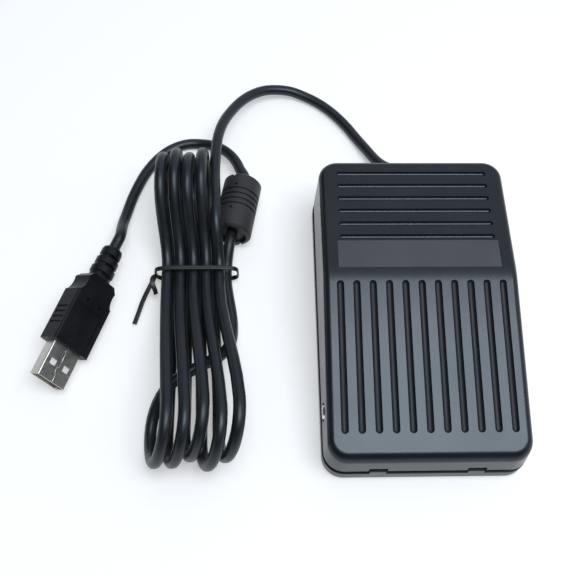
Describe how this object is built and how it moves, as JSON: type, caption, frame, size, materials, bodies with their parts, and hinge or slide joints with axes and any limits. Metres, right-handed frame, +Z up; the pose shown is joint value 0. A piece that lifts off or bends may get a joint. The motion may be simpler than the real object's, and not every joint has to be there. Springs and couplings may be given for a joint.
{
  "type": "foot pedal switch",
  "caption": "Foot pedal switch: a grooved treadle hinged on screws over a shallow tray, sprung to rise, with its cord tied in a hank, a ferrite bead and a USB-A plug.",
  "frame": {"origin": "on the floor under the middle of the tray, cord left out", "axes": "+Y along the pedal to the end where the cord leaves, +Z up, +X right seen from the front"},
  "size_m": [0.1597, 0.1595, 0.0285],
  "materials": {
    "pedal_plastic": "satin moulded ABS with a fine grain",
    "tray_plastic": "satin moulded ABS",
    "label_film": "matte film",
    "foot_rubber": "matte",
    "screw_steel": "bright plated",
    "spring_steel": "drawn wire",
    "board_green": "solder mask on glass fibre",
    "chip_black": "moulded epoxy",
    "can_steel": "drawn can",
    "ceramic_tan": "fired ceramic",
    "header_ivory": "moulded nylon",
    "wire_jacket": "insulated wires",
    "cord_jacket": "satin extruded PVC jacket",
    "tie_black": "plastic-covered wire",
    "bead_plastic": "moulded over the bead",
    "ferrite": "sintered ferrite",
    "grip_plastic": "moulded PVC",
    "plug_steel": "nickel-plated sheet steel",
    "tongue_white": "moulded insulator",
    "contact_gold": "plated contacts"
  },
  "bodies": {
    "base": {"base_tray": "tray_plastic", "rubber_feet": "foot_rubber", "pivot_screw_left": "screw_steel", "pivot_screw_right": "screw_steel", "circuit_board": "board_green", "board_screws": "screw_steel", "controller_chip": "chip_black", "crystal_can": "can_steel", "capacitors": "ceramic_tan", "optical_switch": "chip_black", "cable_header": "header_ivory", "cable_wires": "wire_jacket", "cable_clamp": "tray_plastic", "clamp_screws": "screw_steel", "cable_bushing": "grip_plastic", "return_spring_left": "spring_steel", "return_spring_right": "spring_steel", "cord_lead": "cord_jacket", "cord_hank": "cord_jacket", "cord_tail": "cord_jacket", "hank_tie": "tie_black", "ferrite_cover": "bead_plastic", "ferrite_core": "ferrite", "plug_grip": "grip_plastic", "plug_shell": "plug_steel", "plug_tongue": "tongue_white", "plug_contacts": "contact_gold"},
    "pedal": {"pedal_shell": "pedal_plastic", "label_film": "label_film"}
  },
  "joints": [
    {"name": "pedal_hinge", "type": "hinge", "parent": "base", "child": "pedal", "pos_m": [0, -0.0342, 0.0108], "axis": [-1, 0, 0], "range_deg": [0, 2], "stiffness_Nm_per_rad": 6, "springref_deg": -1.15, "deforming": ["return_spring_left", "return_spring_right"]}
  ]
}
